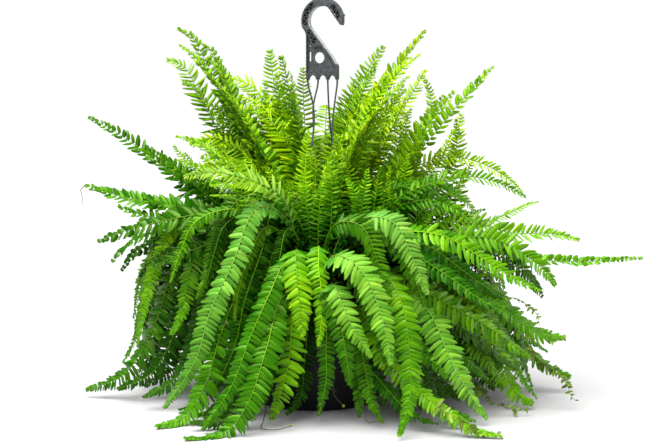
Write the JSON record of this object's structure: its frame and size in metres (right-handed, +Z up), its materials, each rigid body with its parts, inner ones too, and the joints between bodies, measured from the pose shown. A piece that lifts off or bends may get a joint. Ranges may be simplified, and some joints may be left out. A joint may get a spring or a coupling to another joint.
{
  "type": "potted fern",
  "caption": "Bushy sword fern with arching, drooping fronds in a round black plastic basket pot with a moulded grey hook on thin prongs.",
  "frame": {"origin": "centre of the pot's foot, on the surface that it stands on", "axes": "+Z up; -Y towards the side that the picture shows; +X to the right seen from there"},
  "size_m": [0.8335, 0.5967, 0.598],
  "materials": {
    "pot": "smooth black moulded plastic with a soft sheen",
    "soil": "damp dark potting mix",
    "hanger": "dark grey moulded plastic",
    "leaf": "satin green leaf",
    "leaf_bright": "satin bright green leaf",
    "leaf_lime": "satin young yellow-green leaf",
    "leaf_pale": "glossy green leaf with pale highlights",
    "leaf_dark": "satin deep green leaf"
  },
  "bodies": {
    "root": {"pot": "pot", "soil": "soil", "hanger": "hanger", "frond_pot_front_2": "leaf", "frond_front_floor_2": "leaf_lime", "frond_pot_right_1": "leaf_dark", "frond_front_left_8": "leaf_dark", "frond_front_floor_1": "leaf", "frond_pot_front_1": "leaf_bright", "frond_front_mid": "leaf_pale", "frond_front_left_7": "leaf", "frond_front_right_2": "leaf_pale", "frond_front_right_1": "leaf", "frond_front_pale_2": "leaf_pale", "frond_right_mid_3": "leaf", "frond_up_3": "leaf", "frond_right_low_2": "leaf", "frond_right_mid_1": "leaf", "frond_front_left_6": "leaf", "frond_up_1": "leaf", "frond_front_pale_1": "leaf_pale", "frond_front_bright": "leaf_bright", "frond_left_low_1": "leaf", "frond_right_sparse": "leaf", "frond_left_pale": "leaf_pale", "frond_left_low_2": "leaf", "frond_up_4": "leaf_lime", "frond_right_arch_4": "leaf_lime", "frond_right_arch_3": "leaf", "frond_back_low_3": "leaf", "frond_back_low_4": "leaf", "frond_front_left_2": "leaf_lime", "frond_front_left_1": "leaf_pale", "frond_left_back_1": "leaf", "frond_right_mid_2": "leaf", "frond_back_low_5": "leaf", "frond_right_long": "leaf", "frond_back_low_2": "leaf", "frond_back_low_1": "leaf", "frond_left_out_4": "leaf", "frond_right_up_1": "leaf", "frond_left_out_3": "leaf", "frond_right_arch_1": "leaf", "frond_right_high_3": "leaf", "frond_left_high_3": "leaf", "frond_left_out_2": "leaf", "frond_front_left_3": "leaf", "frond_left_out_1": "leaf", "frond_right_high_2": "leaf", "frond_right_arch_2": "leaf", "frond_left_mid_1": "leaf", "frond_front_left_4": "leaf", "frond_right_high_4": "leaf", "frond_top_1": "leaf", "frond_left_high_2": "leaf", "frond_right_high_1": "leaf", "frond_left_high_1": "leaf", "frond_top_4": "leaf", "frond_left_high_4": "leaf_lime", "frond_top_2": "leaf"}
  },
  "joints": []
}
